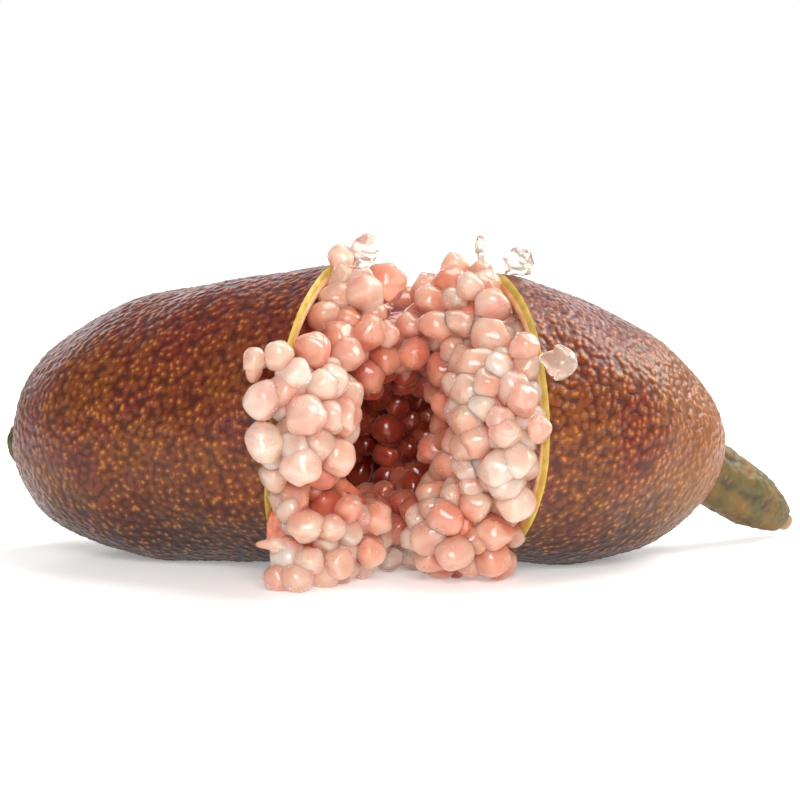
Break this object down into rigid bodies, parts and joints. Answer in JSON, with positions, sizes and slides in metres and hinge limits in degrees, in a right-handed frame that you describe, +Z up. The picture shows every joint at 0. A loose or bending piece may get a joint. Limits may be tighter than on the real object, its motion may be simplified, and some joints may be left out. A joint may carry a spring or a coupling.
{
  "type": "finger lime",
  "caption": "Small cut fruit in two cup-shaped halves of thin pebbled peel, opened in a shallow V, with round translucent juice vesicles spilling from the gap.",
  "frame": {"origin": "on the table, under the middle of the bounding box", "axes": "+X from the blossom end to the stalk end, +Z up, -Y towards the open side of the V"},
  "size_m": [0.0678, 0.0328, 0.0277],
  "materials": {
    "peel": "glossy pebbled skin, brown to plum with ochre oil glands",
    "pulp": "wet translucent red flesh",
    "vesicle": "wet translucent pink gel",
    "green_skin": "dull olive green, slightly rough"
  },
  "bodies": {
    "root": {"blossom_half_peel": "peel", "stalk_half_peel": "peel", "blossom_half_pulp": "pulp", "stalk_half_pulp": "pulp", "bridge_pulp": "pulp", "blossom_button": "green_skin", "stalk": "green_skin", "blossom_crown_vesicle_1": "vesicle", "blossom_crown_vesicle_2": "vesicle", "blossom_crown_vesicle_3": "vesicle", "blossom_crown_vesicle_4": "vesicle", "blossom_crown_vesicle_5": "vesicle", "blossom_crown_vesicle_6": "vesicle", "blossom_crown_vesicle_7": "vesicle", "blossom_side_vesicle_1": "vesicle", "blossom_side_vesicle_2": "vesicle", "blossom_side_vesicle_3": "vesicle", "blossom_side_vesicle_4": "vesicle", "blossom_side_vesicle_5": "vesicle", "blossom_side_vesicle_6": "vesicle", "blossom_side_vesicle_7": "vesicle", "blossom_side_vesicle_8": "vesicle", "blossom_side_vesicle_9": "vesicle", "blossom_side_vesicle_10": "vesicle", "blossom_side_vesicle_11": "vesicle", "blossom_side_vesicle_12": "vesicle", "blossom_side_vesicle_13": "vesicle", "foot_vesicle_1": "vesicle", "foot_vesicle_2": "vesicle", "foot_vesicle_3": "vesicle", "foot_vesicle_4": "vesicle", "foot_vesicle_5": "vesicle", "foot_vesicle_6": "vesicle", "foot_vesicle_7": "vesicle", "foot_vesicle_8": "vesicle", "stalk_crown_vesicle_1": "vesicle", "stalk_crown_vesicle_2": "vesicle", "stalk_crown_vesicle_3": "vesicle", "stalk_crown_vesicle_4": "vesicle", "stalk_crown_vesicle_5": "vesicle", "stalk_crown_vesicle_6": "vesicle", "stalk_crown_vesicle_7": "vesicle", "stalk_crown_vesicle_8": "vesicle", "stalk_side_vesicle_1": "vesicle", "stalk_side_vesicle_2": "vesicle", "stalk_side_vesicle_3": "vesicle", "stalk_side_vesicle_4": "vesicle", "stalk_side_vesicle_5": "vesicle", "stalk_side_vesicle_6": "vesicle", "stalk_side_vesicle_7": "vesicle", "stalk_side_vesicle_8": "vesicle", "stalk_side_vesicle_9": "vesicle", "stalk_side_vesicle_10": "vesicle", "stalk_side_vesicle_11": "vesicle", "stalk_side_vesicle_12": "vesicle", "stalk_side_vesicle_13": "vesicle", "stalk_side_vesicle_14": "vesicle", "stalk_side_vesicle_15": "vesicle", "stalk_side_vesicle_16": "vesicle"}
  },
  "joints": []
}
